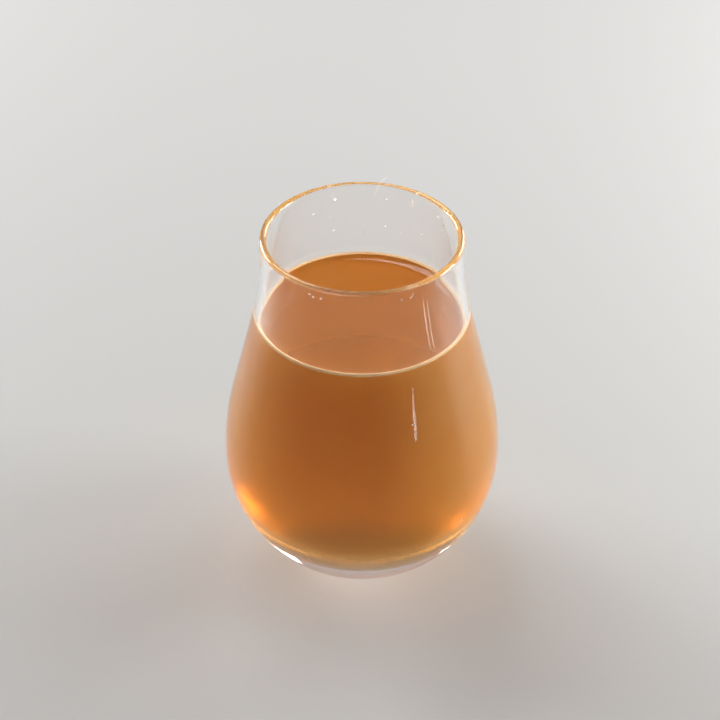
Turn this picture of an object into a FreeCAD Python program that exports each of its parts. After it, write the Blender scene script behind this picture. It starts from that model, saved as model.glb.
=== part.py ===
"""A stemless tulip tasting glass filled with a short cocktail, as a parametric document.

Both pieces are turned shapes on the Z axis, in millimetres, with the origin at the
middle of the foot. The glass is one solid: a thick clear base, a round belly, a
straight flank and a neck that ends upright in a rounded lip. The drink is a second
solid that fills the bowl up to its level, a hair's breadth clear of the glass.
"""
import FreeCAD, Part
import math
import os
import Sketcher
from FreeCAD import Vector

# Driving sizes: name, millimetres, what it measures.
SIZES = (
    ("rim_radius", 24.2, "outer radius at the lip"),
    ("glass_height", 96, "table to the top of the lip"),
    ("belly_radius", 35.6, "outer radius at the widest place"),
    ("belly_height", 30.6, "height of the widest place"),
    ("flank_low", 49.3, "height where the belly's curve runs out into the straight flank"),
    ("flank_high", 71.2, "height where the straight flank runs into the neck's curve"),
    ("foot_radius", 17.6, "radius where the belly's curve would meet the table"),
    ("heel_radius", 2.8, "rounding between the foot and the belly"),
    ("wall", 1.7, "thickness of the wall and of the rounded lip"),
    ("floor_thickness", 9.5, "solid glass under the middle of the bowl"),
    ("bowl_corner", 13.7, "radius of the bowl's side, from the widest place to its shallow floor"),
    ("drink_level", 73.2, "table to the surface of the drink"),
    ("drink_clearance", 0.1, "gap between the drink and the glass"),
)
START, END, CENTRE = 1, 2, 3         # the points of an arc or a line, as sketches number them
ORIGIN, AXIS = (-1, START), -2       # a sketch's origin point, and its upright axis
FOOT_LINE = -1                       # a sketch's level axis, which lies on the table
LIP_HEIGHT = "Sizes.glass_height - Sizes.wall / 2"

document = FreeCAD.newDocument("TulipGlass")

sheet = document.addObject("Spreadsheet::Sheet", "Sizes")
for row, (name, millimetres, meaning) in enumerate(SIZES, start=1):
    sheet.set(f"A{row}", name)
    sheet.set(f"B{row}", str(millimetres))
    sheet.set(f"C{row}", meaning)
    sheet.setAlias(f"B{row}", name)
document.recompute()


# Sketching: each drawing call returns the number that the sketch gives the line or arc.

def upright_sketch(body, name):
    """A sketch on the body's own XZ plane, so that its Y axis is the object's Z axis."""
    plane = next(feature for feature in body.Origin.OriginFeatures if feature.Role == "XZ_Plane")
    sketch = body.newObject("Sketcher::SketchObject", name)
    sketch.AttachmentSupport = (plane, [""])
    sketch.MapMode = "FlatFace"
    return sketch


def circle(x, z, radius):
    """A circle in a sketch, to take arcs and points from."""
    return Part.Circle(Vector(x, z, 0), Vector(0, 0, 1), radius)


def bearing(start, end):
    """The angle of the line from one point to another."""
    return math.atan2(end.y - start.y, end.x - start.x)


def arc(sketch, whole, start, end, construction=False):
    """Draws the part of a circle from one angle anticlockwise to another."""
    return sketch.addGeometry(Part.ArcOfCircle(whole, start, end), construction)


def line(sketch, start, end, construction=False):
    """Draws a line between two points."""
    return sketch.addGeometry(Part.LineSegment(start, end), construction)


def constrain(sketch, kind, *places):
    """Adds a constraint that has no size."""
    sketch.addConstraint(Sketcher.Constraint(kind, *places))


def dimension(sketch, name, kind, *places, size):
    """Adds a named dimension that an expression of the sheet's cells sets."""
    amount = float(sketch.evalExpression(size))
    number = sketch.addConstraint(Sketcher.Constraint(kind, *places, amount))
    sketch.renameConstraint(number, name)
    sketch.setExpression(f"Constraints.{name}", size)


def revolve(body, kind, name, sketch):
    """Turns a sketch right round the Z axis, as a Revolution or a Groove."""
    feature = body.newObject(f"PartDesign::{kind}", name)
    feature.Profile = (sketch, [""])
    feature.ReferenceAxis = (sketch, ["V_Axis"])
    feature.Angle = 360
    return feature


# The side of the glass above its widest place. The outside goes on down to the foot, and the
# inside down into the bowl.

def side_circles(sketch, inset):
    """Roughly where the shoulder's and the neck's circles lie, and the flank's lean.

    The lean is near enough for the constraints to settle the exact one.
    """
    def size(expression):
        return float(sketch.evalExpression(expression))

    shoulder_rise = size("Sizes.flank_low - Sizes.belly_height")
    neck_rise = size(f"{LIP_HEIGHT} - Sizes.flank_high")
    straight_rise = size("Sizes.flank_high - Sizes.flank_low")
    narrowing = size("Sizes.belly_radius - Sizes.rim_radius")
    lean = math.atan(narrowing / ((shoulder_rise + neck_rise) / 2 + straight_rise))
    shoulder_curve = shoulder_rise / math.sin(lean)
    neck_curve = neck_rise / math.sin(lean)
    shoulder = circle(size("Sizes.belly_radius") - shoulder_curve, size("Sizes.belly_height"),
                      shoulder_curve - size(inset))
    neck = circle(size("Sizes.rim_radius") + neck_curve, size(LIP_HEIGHT),
                  neck_curve + size(inset))
    return shoulder, neck, lean


def draw_side(sketch, inset, construction=False):
    """Draws shoulder, flank and neck, each tangent to the next, upright at both ends."""
    shoulder, neck, lean = side_circles(sketch, inset)
    shoulder_arc = arc(sketch, shoulder, 0, lean, construction)
    flank = line(sketch, shoulder.value(lean), neck.value(math.pi + lean), construction)
    neck_arc = arc(sketch, neck, math.pi, math.pi + lean, construction)
    constrain(sketch, "Tangent", shoulder_arc, END, flank, START)
    constrain(sketch, "Tangent", flank, END, neck_arc, END)
    for upright_end in (shoulder_arc, neck_arc):
        constrain(sketch, "Horizontal", upright_end, START, upright_end, CENTRE)
    return shoulder_arc, flank, neck_arc


def draw_outside(sketch, construction=False):
    """Draws the outside of the glass, from the foot to the lip."""
    shoulder_arc, flank, neck_arc = draw_side(sketch, "0", construction)
    widest = sketch.getPoint(shoulder_arc, START)
    foot = Vector(float(sketch.evalExpression("Sizes.foot_radius")), 0, 0)
    overhang = widest.x - foot.x
    belly_curve = (overhang ** 2 + widest.y ** 2) / (2 * overhang)
    belly = circle(widest.x - belly_curve, widest.y, belly_curve)
    belly_arc = arc(sketch, belly, bearing(belly.Center, foot), 0, construction)
    constrain(sketch, "Tangent", belly_arc, END, shoulder_arc, START)
    constrain(sketch, "PointOnObject", belly_arc, START, FOOT_LINE)
    dimension(sketch, "foot_radius", "DistanceX", *ORIGIN, belly_arc, START,
              size="Sizes.foot_radius")
    dimension(sketch, "belly_radius", "DistanceX", *ORIGIN, shoulder_arc, START,
              size="Sizes.belly_radius")
    dimension(sketch, "belly_height", "DistanceY", *ORIGIN, shoulder_arc, START,
              size="Sizes.belly_height")
    dimension(sketch, "flank_low", "DistanceY", *ORIGIN, flank, START, size="Sizes.flank_low")
    dimension(sketch, "flank_high", "DistanceY", *ORIGIN, flank, END, size="Sizes.flank_high")
    dimension(sketch, "rim_radius", "DistanceX", *ORIGIN, neck_arc, START,
              size="Sizes.rim_radius")
    dimension(sketch, "lip_height", "DistanceY", *ORIGIN, neck_arc, START, size=LIP_HEIGHT)
    return belly_arc, shoulder_arc, neck_arc


def draw_bowl(sketch, outside, gap):
    """Draws the inside of the bowl, a wall's thickness and a gap from the outside.

    Its shoulder and neck share the outside's centres. Below the widest place it turns in
    more sharply than the outside, so that the wall thickens into the base, and runs out
    into a shallow floor.
    """
    inset = f"Sizes.wall + {gap}"
    shoulder_arc, flank, neck_arc = draw_side(sketch, inset)
    widest = sketch.getPoint(shoulder_arc, START)
    corner_curve = float(sketch.evalExpression(f"Sizes.bowl_corner - {gap}"))
    drop = widest.y - float(sketch.evalExpression(f"Sizes.floor_thickness + {gap}"))
    reach = widest.x - corner_curve
    floor_curve = (reach ** 2 + drop ** 2 - corner_curve ** 2) / (2 * (drop - corner_curve))
    corner = circle(reach, widest.y, corner_curve)
    floor = circle(0, widest.y - drop + floor_curve, floor_curve)
    turn = bearing(floor.Center, corner.Center)
    corner_arc = arc(sketch, corner, turn, 0)
    floor_arc = arc(sketch, floor, -math.pi / 2, turn)
    constrain(sketch, "Tangent", corner_arc, END, shoulder_arc, START)
    constrain(sketch, "Tangent", floor_arc, END, corner_arc, START)
    for place in (START, CENTRE):
        constrain(sketch, "PointOnObject", floor_arc, place, AXIS)
    for inner, outer in zip((shoulder_arc, neck_arc), outside[1:]):
        constrain(sketch, "Coincident", inner, CENTRE, outer, CENTRE)
    dimension(sketch, "inner_belly", "DistanceX", *ORIGIN, shoulder_arc, START,
              size=f"Sizes.belly_radius - ({inset})")
    dimension(sketch, "mouth_radius", "DistanceX", *ORIGIN, neck_arc, START,
              size=f"Sizes.rim_radius - ({inset})")
    dimension(sketch, "bowl_corner", "Radius", corner_arc, size=f"Sizes.bowl_corner - {gap}")
    dimension(sketch, "floor_height", "DistanceY", *ORIGIN, floor_arc, START,
              size=f"Sizes.floor_thickness + {gap}")
    return floor_arc, neck_arc


# The glass: one section turned round the axis, with its heel rounded afterwards.

def make_glass():
    """The glass, with a thick clear base and a lip as round as the wall is thick."""
    body = document.addObject("PartDesign::Body", "glass")
    section = upright_sketch(body, "glass_section")
    outside = draw_outside(section)
    floor_arc, mouth_arc = draw_bowl(section, outside, "0")
    foot_arc, rim_arc = outside[0], outside[-1]
    rim = section.getPoint(rim_arc, START)
    mouth = section.getPoint(mouth_arc, START)
    lip = arc(section, circle((rim.x + mouth.x) / 2, rim.y, (rim.x - mouth.x) / 2), 0, math.pi)
    constrain(section, "Tangent", lip, START, rim_arc, START)
    constrain(section, "Coincident", lip, END, mouth_arc, START)
    foot = line(section, Vector(0, 0, 0), section.getPoint(foot_arc, START))
    constrain(section, "Coincident", foot, START, *ORIGIN)
    constrain(section, "Coincident", foot, END, foot_arc, START)
    middle = line(section, Vector(0, 0, 0), section.getPoint(floor_arc, START))
    constrain(section, "Coincident", middle, START, *ORIGIN)
    constrain(section, "Coincident", middle, END, floor_arc, START)
    turned = revolve(body, "Revolution", "glass_turned", section)
    document.recompute()

    heel = body.newObject("PartDesign::Fillet", "glass_heel")
    heel.Base = (turned, [f"Edge{foot_edge(turned.Shape)}"])
    heel.setExpression("Radius", "Sizes.heel_radius")
    return body, section


def foot_edge(shape):
    """The number of the round edge that lies on the table."""
    for number, edge in enumerate(shape.Edges, start=1):
        on_table = edge.BoundBox.ZMax < Part.Precision.confusion()
        if on_table and isinstance(edge.Curve, Part.Circle):
            return number
    raise RuntimeError("the turned glass has no round edge on the table")


# The drink: the whole bowl as a solid, cut off level at the drink's surface.

def make_drink():
    """The drink, in the same bowl as the glass with a clearance all round."""
    body = document.addObject("PartDesign::Body", "drink")
    section = upright_sketch(body, "drink_section")
    outside = draw_outside(section, construction=True)
    floor_arc, mouth_arc = draw_bowl(section, outside, "Sizes.drink_clearance")
    mouth = section.getPoint(mouth_arc, START)
    bottom = section.getPoint(floor_arc, START)
    top = line(section, Vector(0, mouth.y, 0), mouth)
    middle = line(section, Vector(0, mouth.y, 0), bottom)
    constrain(section, "Coincident", top, END, mouth_arc, START)
    constrain(section, "Coincident", middle, START, top, START)
    constrain(section, "Coincident", middle, END, floor_arc, START)
    constrain(section, "PointOnObject", top, START, AXIS)
    constrain(section, "Horizontal", top)
    revolve(body, "Revolution", "drink_turned", section)
    document.recompute()

    headroom = upright_sketch(body, "headroom_section")
    reach, level, height = (float(headroom.evalExpression(f"Sizes.{name}")) for name in
                            ("belly_radius", "drink_level", "glass_height"))
    corners = (Vector(0, level, 0), Vector(reach, level, 0),
               Vector(reach, height, 0), Vector(0, height, 0))
    sides = [line(headroom, corners[n - 1], corners[n]) for n in range(len(corners))]
    for before, after in zip(sides, sides[1:] + sides[:1]):
        constrain(headroom, "Coincident", before, END, after, START)
    inner_side, surface, outer_side, cover = sides
    for level_line in (surface, cover):
        constrain(headroom, "Horizontal", level_line)
    constrain(headroom, "Vertical", outer_side)
    for place in (START, END):
        constrain(headroom, "PointOnObject", inner_side, place, AXIS)
    dimension(headroom, "drink_level", "DistanceY", *ORIGIN, surface, START,
              size="Sizes.drink_level")
    dimension(headroom, "top", "DistanceY", *ORIGIN, cover, START, size="Sizes.glass_height")
    dimension(headroom, "reach", "DistanceX", *ORIGIN, surface, END, size="Sizes.belly_radius")
    revolve(body, "Groove", "drink_surface", headroom)
    return body, section, headroom


glass, *glass_sketches = make_glass()
drink, *drink_sketches = make_drink()
document.recompute()

# Nothing is written unless every object is sound and every sketch is fully constrained.
for item in document.Objects:
    if "Invalid" in item.State or "Error" in item.State:
        raise RuntimeError(f"{item.Name} failed: {item.State}")
for sketch in glass_sketches + drink_sketches:
    if sketch.solve() != 0 or not sketch.FullyConstrained:
        raise RuntimeError(f"{sketch.Name} isn't fully constrained")
os.makedirs("parts", exist_ok=True)
for body in (glass, drink):
    if body.Shape.isNull() or not body.Shape.isValid() or len(body.Shape.Solids) != 1:
        raise RuntimeError(f"{body.Label} isn't one sound solid")
    body.Shape.exportStep(f"parts/{body.Label}.step")
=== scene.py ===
import math
import random

import bmesh
import bpy
from mathutils import Matrix, Vector


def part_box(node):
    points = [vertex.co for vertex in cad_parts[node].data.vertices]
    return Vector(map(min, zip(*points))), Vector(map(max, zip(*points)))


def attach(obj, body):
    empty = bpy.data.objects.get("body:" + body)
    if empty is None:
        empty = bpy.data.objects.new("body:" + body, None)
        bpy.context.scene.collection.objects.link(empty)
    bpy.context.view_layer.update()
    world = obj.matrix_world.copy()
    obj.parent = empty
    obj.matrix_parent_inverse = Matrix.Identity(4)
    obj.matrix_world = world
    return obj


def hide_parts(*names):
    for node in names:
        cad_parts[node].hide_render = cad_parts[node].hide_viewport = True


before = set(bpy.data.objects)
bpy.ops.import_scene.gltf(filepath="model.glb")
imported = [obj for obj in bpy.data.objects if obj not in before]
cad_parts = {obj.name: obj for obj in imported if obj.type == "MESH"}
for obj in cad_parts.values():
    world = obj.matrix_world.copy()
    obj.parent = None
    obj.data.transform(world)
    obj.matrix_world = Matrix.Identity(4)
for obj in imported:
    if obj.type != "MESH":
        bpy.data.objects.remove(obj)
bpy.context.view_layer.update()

# The view. The camera looks down at the glass from a little over a third of a metre away,
# through a short telephoto lens that is aimed at the flank.
view_tilt = math.radians(38.3)
view_distance = 0.363
aim = Vector((-0.0005, 0, 0.0584))

lens = bpy.data.cameras.new("camera")
lens.sensor_width = 36
lens.lens = 72.35
camera = bpy.data.objects.new("camera", lens)
camera.rotation_euler = (math.pi / 2 - view_tilt, 0, 0)
camera.location = aim + view_distance * Vector((0, -math.cos(view_tilt), math.sin(view_tilt)))
bpy.context.scene.collection.objects.link(camera)
bpy.context.scene.camera = camera
bpy.context.scene.view_settings.view_transform = "Standard"

# Light turns many times inside the lip before it leaves, so its paths are let run long.
bpy.context.scene.cycles.max_bounces = 32
bpy.context.scene.cycles.transmission_bounces = 20
bpy.context.scene.cycles.glossy_bounces = 24


# The glass. One piece of clear soda-lime glass, blown and then fire-polished at the lip, with
# a thick solid base, a round belly and a neck that narrows to the lip. Its section is drawn
# from the middle of the foot up the outside, over the lip and down into the bowl, then turned.
glass_low, glass_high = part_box("glass")
belly_radius = min(-glass_low[0], -glass_low[1], glass_high[0], glass_high[1])
belly_height = 0.0306
foot_radius, heel_radius = 0.0176, 0.0028
wall, floor_thickness, bowl_corner = 0.0017, 0.0095, 0.0137
rim_radius, lip_height = 0.0242, glass_high[2] - wall / 2
flank_low, flank_high = 0.0493, 0.0712
drink_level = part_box("drink")[1][2]
segments = 224


def swing(bm, pen, centre, angle, steps):
    """Swings the outline's last point around a centre, leaving an arc, and returns its end."""
    made = bmesh.ops.spin(bm, geom=[pen], cent=(centre[0], 0, centre[1]), axis=(0, -1, 0),
                          angle=angle, steps=steps)
    return made["geom_last"][0]


def run(bm, pen, x, z, steps=1):
    """Draws the outline straight on to a place, in equal steps."""
    start_x, start_z = pen.co.x, pen.co.z
    for step in range(1, steps + 1):
        share = step / steps
        pen = bmesh.ops.extrude_vert_indiv(bm, verts=[pen])["verts"][0]
        pen.co = (start_x + share * (x - start_x), 0, start_z + share * (z - start_z))
    return pen


def link_piece(bm, name):
    """Turns a bmesh into a smooth mesh object in the scene."""
    mesh = bpy.data.meshes.new(name)
    bm.to_mesh(mesh)
    bm.free()
    mesh.shade_smooth()
    piece = bpy.data.objects.new(name, mesh)
    bpy.context.scene.collection.objects.link(piece)
    return piece


def turn_round(bm, name):
    """Spins the outline right round the axis into a closed piece."""
    bmesh.ops.spin(bm, geom=bm.verts[:] + bm.edges[:], cent=(0, 0, 0), axis=(0, 0, 1),
                   angle=2 * math.pi, steps=segments, use_merge=True)
    bmesh.ops.remove_doubles(bm, verts=bm.verts, dist=1e-7)
    bmesh.ops.recalc_face_normals(bm, faces=bm.faces)
    return link_piece(bm, name)


# The flank leans in so that it meets the belly's curve and the neck's curve smoothly. Its lean
# has no short formula, so each round of the loop brings the tangent of half of it nearer.
curved = flank_low - belly_height + lip_height - flank_high
half_turn = 0
for _ in range(8):
    squeeze = 1 - half_turn ** 2
    half_turn = (belly_radius - rim_radius) * squeeze / (
        curved * squeeze + 2 * (flank_high - flank_low))
lean = 2 * math.atan(half_turn)
shoulder_curve = (flank_low - belly_height) / math.sin(lean)
neck_curve = (lip_height - flank_high) / math.sin(lean)
shoulder_x = belly_radius - shoulder_curve
neck_x = rim_radius + neck_curve


def flank_end(inset):
    """Where the flank meets the neck's curve, this far in from the outside."""
    return (neck_x - (neck_curve + inset) * math.cos(lean),
            lip_height - (neck_curve + inset) * math.sin(lean))


def bowl_floor(inset, thickness, corner):
    """The radius of the floor's curve, how far out the centre of its corner is, and the angle
    from the axis at which the two curves meet."""
    drop = belly_height - thickness
    reach = belly_radius - inset - corner
    curve = (reach ** 2 + drop ** 2 - corner ** 2) / (2 * (drop - corner))
    return curve, reach, math.atan2(reach, curve - drop)


overhang = belly_radius - foot_radius
belly_curve = (overhang ** 2 + belly_height ** 2) / (2 * overhang)
belly_x = belly_radius - belly_curve
heel_turn = math.acos((belly_height - heel_radius) / (belly_curve - heel_radius))
heel_x = belly_x + (belly_curve - heel_radius) * math.sin(heel_turn)
floor_curve, reach, turn = bowl_floor(wall, floor_thickness, bowl_corner)

bm = bmesh.new()
pen = bmesh.ops.create_vert(bm, co=(0, 0, 0))["vert"][0]
pen = run(bm, pen, heel_x, 0, 8)
pen = swing(bm, pen, (heel_x, heel_radius), heel_turn, 12)
pen = swing(bm, pen, (belly_x, belly_height), math.pi / 2 - heel_turn, 30)
pen = swing(bm, pen, (shoulder_x, belly_height), lean, 14)
pen = run(bm, pen, *flank_end(0), 8)
pen = swing(bm, pen, (neck_x, lip_height), -lean, 16)
pen = swing(bm, pen, (rim_radius - wall / 2, lip_height), math.pi, 20)
pen = swing(bm, pen, (neck_x, lip_height), lean, 16)
inner_curve = shoulder_curve - wall
pen = run(bm, pen, shoulder_x + inner_curve * math.cos(lean),
          belly_height + inner_curve * math.sin(lean), 8)
pen = swing(bm, pen, (shoulder_x, belly_height), -lean, 14)
pen = swing(bm, pen, (reach, belly_height), turn - math.pi / 2, 22)
pen = swing(bm, pen, (0, floor_thickness + floor_curve), -turn, 24)
tumbler = turn_round(bm, "tumbler")


class Shader:
    """A socket of a node tree, with arithmetic written as Python expressions."""

    def __init__(self, tree, socket):
        self.tree = tree
        self.socket = socket

    def node(self, kind, settings=None, values=None, output=0):
        """Adds any node. Settings come first, then the numbers or links of its sockets."""
        made = self.tree.nodes.new(kind)
        for name, setting in (settings or {}).items():
            setattr(made, name, setting)
        for name, entry in (values or {}).items():
            if isinstance(entry, Shader):
                self.tree.links.new(entry.socket, made.inputs[name])
            else:
                made.inputs[name].default_value = entry
        return Shader(self.tree, made.outputs[output])

    def math(self, operation, first, second=0.0):
        """Adds a Math node on two numbers or sockets."""
        return self.node("ShaderNodeMath", {"operation": operation}, {0: first, 1: second})

    def __add__(self, other):
        return self.math("ADD", self, other)

    def __mul__(self, other):
        return self.math("MULTIPLY", self, other)

    __radd__, __rmul__ = __add__, __mul__


def new_material(name):
    """A material with only its output, and its object coordinates to start from."""
    material = bpy.data.materials.new(name)
    material.use_nodes = True
    material.node_tree.nodes.clear()
    output = material.node_tree.nodes.new("ShaderNodeOutputMaterial")
    start = Shader(material.node_tree, output.inputs["Surface"])
    return material, start.node("ShaderNodeTexCoord", output="Object")


def connect(material, shader, socket="Surface"):
    """Links a shader to the material's output."""
    output = material.node_tree.nodes["Material Output"]
    material.node_tree.links.new(shader.socket, output.inputs[socket])


def noise(place, scale, detail=2.0):
    """Soft random patches, from 0 to 1, at this scale."""
    return place.node("ShaderNodeTexNoise", None,
                      {"Vector": place, "Scale": scale, "Detail": detail})


def ramp(value, low, high, low_result=0.0, high_result=1.0):
    """Runs smoothly from one result to another as a value goes from low to high."""
    return value.node("ShaderNodeMapRange", {"interpolation_type": "SMOOTHSTEP"}, {
        "Value": value, "From Min": low, "From Max": high,
        "To Min": low_result, "To Max": high_result})


def blend(mask, colour, other):
    """Mixes two colours by a mask."""
    return mask.node("ShaderNodeMix", {"data_type": "RGBA"},
                     {0: mask, 6: colour, 7: other}, output=2)


def let_light_through(shader, share):
    """Lets a share of the lamps' light straight through a clear piece."""
    clear = shader.node("ShaderNodeBsdfTransparent", None, {"Color": (share, share, share, 1)})
    shadow_ray = shader.node("ShaderNodeLightPath", output="Is Shadow Ray")
    return shader.node("ShaderNodeMixShader", None, {0: shadow_ray, 1: shader, 2: clear})


def make_clear_glass(name, mirrored):
    """Clear glass, a little uneven from blowing and faintly smeared by handling, that mirrors
    the room as dry glass does at 1 and not at all at 0."""
    material, place = new_material(name)
    smears = ramp(noise(place, 70, 4), 0.52, 0.75)
    uneven = noise(place, 45)
    bump = place.node("ShaderNodeBump", None, {
        "Strength": 0.5, "Distance": 0.0002, "Height": uneven})
    surface = place.node("ShaderNodeBsdfPrincipled", None, {
        "Base Color": blend(smears, (0.99, 0.995, 0.99, 1), (0.96, 0.97, 0.97, 1)),
        "Roughness": 0.004 + 0.02 * smears, "IOR": 1.5, "Transmission Weight": 1.0,
        "Specular Tint": (mirrored, mirrored, mirrored, 1), "Normal": bump})
    connect(material, let_light_through(surface, 0.97))
    return material


def outward(face):
    """How far a face of a turned piece looks away from the axis, from -1 to 1."""
    return face.normal.dot(Vector((face.center.x, face.center.y, 0)).normalized())


# Wetted glass hardly mirrors, because the drink bends light nearly as much as glass does. The
# wetted faces are those of the bowl below the level: its walls look inward and its floor up.
tumbler.data.materials.append(make_clear_glass("clear_glass", 1))
tumbler.data.materials.append(make_clear_glass("wetted_glass", 0))
for face in tumbler.data.polygons:
    if face.center.z < drink_level and (outward(face) < 0 or face.normal.z > 0.5):
        face.material_index = 1
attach(tumbler, "root")
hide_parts("glass")


# The drink. A short golden amber cocktail, slightly hazy, still and level. It fills the bowl
# and reaches just into the wall, and it climbs the glass in a fine clear meniscus at its edge.
into_wall = 0.00015
meniscus_rise, meniscus_reach, meniscus_width = 0.0011, 0.0014, 0.009
meniscus_steps, crowding = 24, 1.6       # the steps crowd towards the wall, where it is steep

inset = wall - into_wall
floor_curve, reach, turn = bowl_floor(inset, floor_thickness - into_wall,
                                      bowl_corner + into_wall)
bm = bmesh.new()
pen = bmesh.ops.create_vert(bm, co=(0, 0, floor_thickness - into_wall))["vert"][0]
pen = swing(bm, pen, (0, floor_thickness - into_wall + floor_curve), turn, 24)
pen = swing(bm, pen, (reach, belly_height), math.pi / 2 - turn, 22)
pen = swing(bm, pen, (shoulder_x, belly_height), lean, 14)
pen = run(bm, pen, *flank_end(inset), 8)
contact_turn = lean - math.asin(
    (lip_height - drink_level - meniscus_rise) / (neck_curve + inset))
pen = swing(bm, pen, (neck_x, lip_height), -contact_turn, 10)
edge = pen.co.x - into_wall
for step in range(1, meniscus_steps + 1):
    away = meniscus_width * (step / meniscus_steps) ** crowding
    climb = meniscus_rise * math.exp(-away / meniscus_reach)
    pen = run(bm, pen, edge - away, drink_level + climb)
pen = run(bm, pen, 0, drink_level, 4)
cocktail = turn_round(bm, "cocktail")


def make_amber_drink(name, amber, paler, clear, blur, mirrored):
    """The hazy drink. Its cloudiness mixes two ambers, it blurs what is behind it, less so near
    the bowl's floor, and it takes the blue out of the light that crosses it."""
    material, place = new_material(name)
    height = place.node("ShaderNodeSeparateXYZ", None, {0: place}, output=2)
    cloudy = ramp(noise(place, 55, 3), 0.3, 0.7)
    surface = place.node("ShaderNodeBsdfPrincipled", None, {
        "Base Color": blend(cloudy, amber, paler),
        "Roughness": ramp(height, 0.012, 0.025, 0.35 * blur, blur), "IOR": 1.35,
        "Specular Tint": (mirrored, mirrored, mirrored, 1), "Transmission Weight": clear})
    connect(material, let_light_through(surface, 0.25))
    absorb = place.node("ShaderNodeVolumeAbsorption", None, {
        "Color": (0.86, 0.68, 0.20, 1), "Density": 85.0})
    connect(material, absorb, "Volume")
    return material


# One drink in three copies with painted light: the flat surface is a deep orange, darker as
# painted shade; the wall faces are a paler golden yellow, a painted glow on the sides; the thin
# edge is a pale peach, a painted highlight along the meniscus, partly also the real paleness of
# a thin film.
cocktail.data.materials.append(make_amber_drink(
    "amber_drink", (0.90, 0.25, 0.012, 1), (0.92, 0.29, 0.025, 1),
    clear=0.74, blur=0.03, mirrored=1))
cocktail.data.materials.append(make_amber_drink(
    "amber_drink_painted_glow_at_the_wall", (1.0, 0.57, 0.08, 1), (1.0, 0.62, 0.10, 1),
    clear=0.86, blur=0.33, mirrored=0))
cocktail.data.materials.append(make_amber_drink(
    "thin_drink_painted_highlight_at_the_edge", (1.0, 0.62, 0.31, 1), (1.0, 0.67, 0.36, 1),
    clear=0.55, blur=0.2, mirrored=0))

# The thin edge is what climbs well above the level and takes the pale peach painted highlight,
# the wall faces take the golden painted glow, and only the flat surface mirrors the room.
thin_at_the_wall, thin_on_top, below_level = 0.0003, 0.0008, -1e-5
for face in cocktail.data.polygons:
    climb = face.center.z - drink_level
    at_the_wall = outward(face) > 0.3
    if climb > (thin_at_the_wall if at_the_wall else thin_on_top):
        face.material_index = 2
    elif climb < below_level or at_the_wall:
        face.material_index = 1
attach(cocktail, "root")
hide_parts("drink")


# The drops inside the neck. The drink was poured a moment ago, so a few small drops and two
# fine runs of it still cling to the clean glass above its surface. Each is a flattened bead
# laid round the wall, and the drops are scattered over the back and two places in front.
longest_drop = 0.004                     # anything longer is a run


def wall_radius(height, inset):
    """How far the wall is from the axis at a height, this far in from the outside."""
    if height < belly_height:
        side = (bowl_corner + wall - inset) ** 2 - (belly_height - height) ** 2
        return belly_radius - wall - bowl_corner + math.sqrt(side)
    join = belly_height + (shoulder_curve - inset) * math.sin(lean)
    if height < join:
        side = (shoulder_curve - inset) ** 2 - (height - belly_height) ** 2
        return shoulder_x + math.sqrt(side)
    flank_x, flank_z = flank_end(inset)
    if height < flank_z:
        return flank_x + (flank_z - height) * math.tan(lean)
    return neck_x - math.sqrt((neck_curve + inset) ** 2 - (lip_height - height) ** 2)


def add_bead(bm, bearing, height, width, length, proud, tilt=0, inset=wall):
    """Lays a flattened bead on the wall at a bearing and a tilt in degrees. It is on the inside,
    or on the outside where there is no inset."""
    rings = 10 if length < longest_drop else 36
    verts = bmesh.ops.create_uvsphere(bm, u_segments=12, v_segments=rings, radius=1)["verts"]
    bmesh.ops.scale(bm, vec=(width / 2, proud, length / 2), verts=verts)
    bmesh.ops.rotate(bm, matrix=Matrix.Rotation(math.radians(tilt), 3, "Y"), verts=verts)
    side = -1 if inset else 1
    for vert in verts:
        across, off, up = vert.co
        radius = wall_radius(height + up, inset)
        angle = math.radians(bearing) + across / radius
        radius += side * off
        vert.co = (radius * math.cos(angle), radius * math.sin(angle), height + up)


dice = random.Random(5)
narrowest, widest, shortest = 0.0003, 0.0006, 0.0004
# Each place: its middle and its spread in degrees, how low and high, how many, the longest.
over_the_back = (78, 50, 0.0810, 0.0930, 13, 0.0032)
under_the_lip_right = (-64, 4, 0.0925, 0.0932, 3, 0.0006)
under_the_lip_left = (-117, 4, 0.0925, 0.0932, 3, 0.0006)

bm = bmesh.new()
for middle, spread, lowest, highest, count, longest in (
        over_the_back, under_the_lip_right, under_the_lip_left):
    for _ in range(count):
        width = dice.uniform(narrowest, widest)
        length = shortest + (longest - shortest) * dice.random() ** 2
        add_bead(bm, middle + dice.uniform(-spread, spread), dice.uniform(lowest, highest),
                 width, length, 0.45 * width, dice.uniform(-90, 90))
add_bead(bm, bearing=-52, height=0.0833, width=0.0003, length=0.0152, proud=0.00006, tilt=-5.5)
add_bead(bm, bearing=-49.4, height=0.0830, width=0.0002, length=0.0155, proud=0.00005, tilt=-5)
bmesh.ops.recalc_face_normals(bm, faces=bm.faces)
drops = link_piece(bm, "drops")

beaded_drink, place = new_material("beaded_drink")
surface = place.node("ShaderNodeBsdfPrincipled", None, {
    "Base Color": blend(noise(place, 900), (0.995, 0.98, 0.95, 1), (0.98, 0.94, 0.87, 1)),
    "Roughness": 0.02, "IOR": 1.35, "Transmission Weight": 0.9})
connect(beaded_drink, let_light_through(surface, 0.9))
drops.data.materials.append(beaded_drink)
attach(drops, "root")


# The dried streak. A long fine run of drink has dried on the outside of the front, thicker in
# its lower half, with a speck and a crumb caught beside it. Its pale pinkish colour is a painted
# highlight, which makes it show as a thin pale line.
long_run = {"bearing": -65.6, "height": 0.0632, "width": 0.0004, "length": 0.0140}
thick_end = {"bearing": -65.4, "height": 0.0604, "width": 0.0005, "length": 0.0078}
speck = {"bearing": -66.7, "height": 0.0608, "width": 0.0002, "length": 0.0011}
crumb = {"bearing": -66.9, "height": 0.0608, "width": 0.0002, "length": 0.0006}

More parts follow.
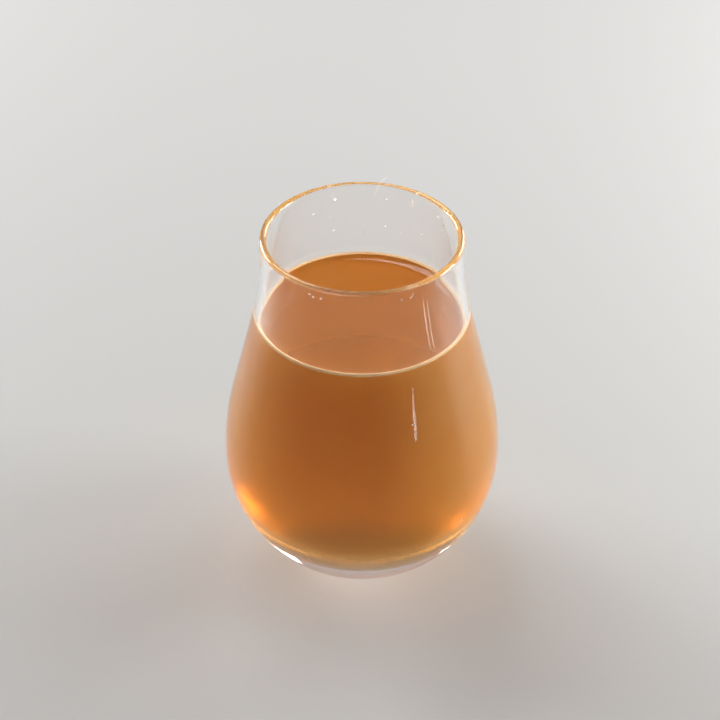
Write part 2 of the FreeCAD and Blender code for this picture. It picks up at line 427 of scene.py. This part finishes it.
bm = bmesh.new()
add_bead(bm, **long_run, proud=0.00005, tilt=3, inset=0)
add_bead(bm, **thick_end, proud=0.00007, tilt=3, inset=0)
add_bead(bm, **speck, proud=0.00005, tilt=65, inset=0)
add_bead(bm, **crumb, proud=0.00005, tilt=-20, inset=0)
bmesh.ops.recalc_face_normals(bm, faces=bm.faces)
streak = link_piece(bm, "dried_streak_painted_highlight")

# Pale pinkish white in patches: a painted highlight on the dried run.
dried_drink_painted_highlight, place = new_material("dried_drink_painted_highlight")
patchy = ramp(noise(place, 700, 4), 0.35, 0.65)
surface = place.node("ShaderNodeBsdfPrincipled", None, {
    "Base Color": blend(patchy, (1.0, 0.88, 0.82, 1), (0.96, 0.80, 0.72, 1)),
    "Roughness": 0.2 + 0.25 * patchy, "IOR": 1.45, "Transmission Weight": 0.75})
connect(dried_drink_painted_highlight, let_light_through(surface, 0.8))
streak.data.materials.append(dried_drink_painted_highlight)
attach(streak, "root")


# The seeds. A little ring of tiny bubbles lies within the glass low on the right, trapped there
# when it was blown. Their pale golden colour is a painted glint.
seed_count, seed_width = 7, 0.0004
ring_bearing, ring_height = -44.6, 0.0262
ring_spread, ring_rise = 1.7, 0.0010     # half its width in degrees, and half its height

bm = bmesh.new()
for number in range(seed_count):
    around = 2 * math.pi * number / seed_count
    add_bead(bm, ring_bearing + ring_spread * math.cos(around),
             ring_height + ring_rise * math.sin(around),
             seed_width, seed_width + 0.0001 * (number % 3), seed_width / 2, inset=wall / 2)
bmesh.ops.recalc_face_normals(bm, faces=bm.faces)
seeds = link_piece(bm, "seed_bubbles")

# Pale golden and partly opaque: a painted highlight that makes the bubbles glint.
painted_glint_bubble, place = new_material("seed_bubble_painted_glint")
surface = place.node("ShaderNodeBsdfPrincipled", None, {
    "Base Color": blend(noise(place, 1200), (1.0, 0.90, 0.72, 1), (1.0, 0.84, 0.62, 1)),
    "Roughness": 0.15, "IOR": 1.3, "Transmission Weight": 0.55})
connect(painted_glint_bubble, let_light_through(surface, 0.9))
seeds.data.materials.append(painted_glint_bubble)
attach(seeds, "root")


# The lint. One loose pale fibre, as fine as a hair, has settled over the back of the lip. It
# starts inside the neck, lies across the lip and sticks out almost three millimetres behind.
lint_thickness = 0.00009
bend = bpy.data.curves.new("lint", "CURVE")
bend.dimensions = "3D"
bend.bevel_depth = lint_thickness / 2
bend.bevel_resolution = 3
bend.use_fill_caps = True
line = bend.splines.new("NURBS")
route = ((82, 0.0223, 0.0930), (80.5, 0.0225, 0.0943), (79.5, 0.0231, 0.09578),
         (79, 0.0240, 0.09580), (78, 0.0252, 0.09570), (77.5, 0.0262, 0.09585),
         (76, 0.0270, 0.09590))
line.points.add(len(route) - 1)
for point, (bearing, radius, height) in zip(line.points, route):
    angle = math.radians(bearing)
    point.co = (radius * math.cos(angle), radius * math.sin(angle), height, 1)
line.order_u = 3
line.use_endpoint_u = True
lint = bpy.data.objects.new("lint", bend)
bpy.context.scene.collection.objects.link(lint)

pale_fibre, place = new_material("pale_fibre")
surface = place.node("ShaderNodeBsdfPrincipled", None, {
    "Base Color": blend(noise(place, 1500), (0.86, 0.84, 0.82, 1), (0.70, 0.67, 0.65, 1)),
    "Roughness": 0.55, "Sheen Weight": 0.3})
connect(pale_fibre, surface)
bend.materials.append(pale_fibre)
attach(lint, "root")


# The studio. A pale floor in a pale room, with large soft boxes low behind on each side and
# low on the right, which make the sides of the drink glow, and one high behind, which draws
# a pale arc on the drink's surface.
floor_radius, fade_start, fade_end = 1.6, 0.40, 1.3

bm = bmesh.new()
bmesh.ops.create_circle(bm, cap_ends=True, segments=64, radius=floor_radius)
mesh = bpy.data.meshes.new("floor")
bm.to_mesh(mesh)
bm.free()
floor = bpy.data.objects.new("floor", mesh)
bpy.context.scene.collection.objects.link(floor)
pale_floor, place = new_material("pale_floor")
surface = place.node("ShaderNodeBsdfPrincipled", None, {
    "Base Color": blend(noise(place, 3), (0.46, 0.455, 0.445, 1), (0.48, 0.475, 0.465, 1)),
    "Roughness": 0.6})


def seen_directly(start):
    """Where a surface shows itself, to the eye or in glass, and doesn't only light others."""
    seen = start.node("ShaderNodeLightPath", output="Is Camera Ray")
    for ray in ("Is Glossy Ray", "Is Transmission Ray"):
        seen = start.math("MAXIMUM", seen, start.node("ShaderNodeLightPath", output=ray))
    return seen


# The room looks paler than the light it gives, and the far floor fades into it.
room_colour = (0.9, 0.9, 0.9, 1)
room_light, room_look = 0.2, 0.5
distance = place.node("ShaderNodeVectorMath", {"operation": "LENGTH"}, {0: place}, output=1)
far = ramp(distance, fade_start, fade_end)
room = place.node("ShaderNodeEmission", None, {"Color": room_colour, "Strength": room_look})
connect(pale_floor, place.node("ShaderNodeMixShader", None, {
    0: seen_directly(place) * far, 1: surface, 2: room}))
mesh.materials.append(pale_floor)


def softbox(name, place, size, watts, target=(0, 0, 0.05)):
    """A rectangular area light that faces a place."""
    lamp = bpy.data.lights.new(name, "AREA")
    lamp.shape = "RECTANGLE"
    lamp.size, lamp.size_y = size
    lamp.energy = watts
    box = bpy.data.objects.new(name, lamp)
    box.location = place
    aimed = (Vector(target) - Vector(place)).to_track_quat("-Z", "Y")
    box.rotation_euler = aimed.to_euler()
    bpy.context.scene.collection.objects.link(box)


softbox("back_left_box", (-0.75, 0.55, 0.28), (0.5, 0.45), 10.0)
softbox("back_right_box", (0.66, 0.68, 0.30), (0.5, 0.45), 7.0)
softbox("right_box", (0.60, 0.08, 0.18), (0.25, 0.30), 4.3)
softbox("top_box", (-0.20, 0.38, 0.62), (0.42, 0.20), 1.7, target=(0, 0, 0.07))

world = bpy.data.worlds.new("studio")
world.use_nodes = True
bpy.context.scene.world = world
backdrop = world.node_tree.nodes["Background"]
backdrop.inputs["Color"].default_value = room_colour
seen = seen_directly(Shader(world.node_tree, backdrop.outputs["Background"]))
strength = room_light + (room_look - room_light) * seen
world.node_tree.links.new(strength.socket, backdrop.inputs["Strength"])
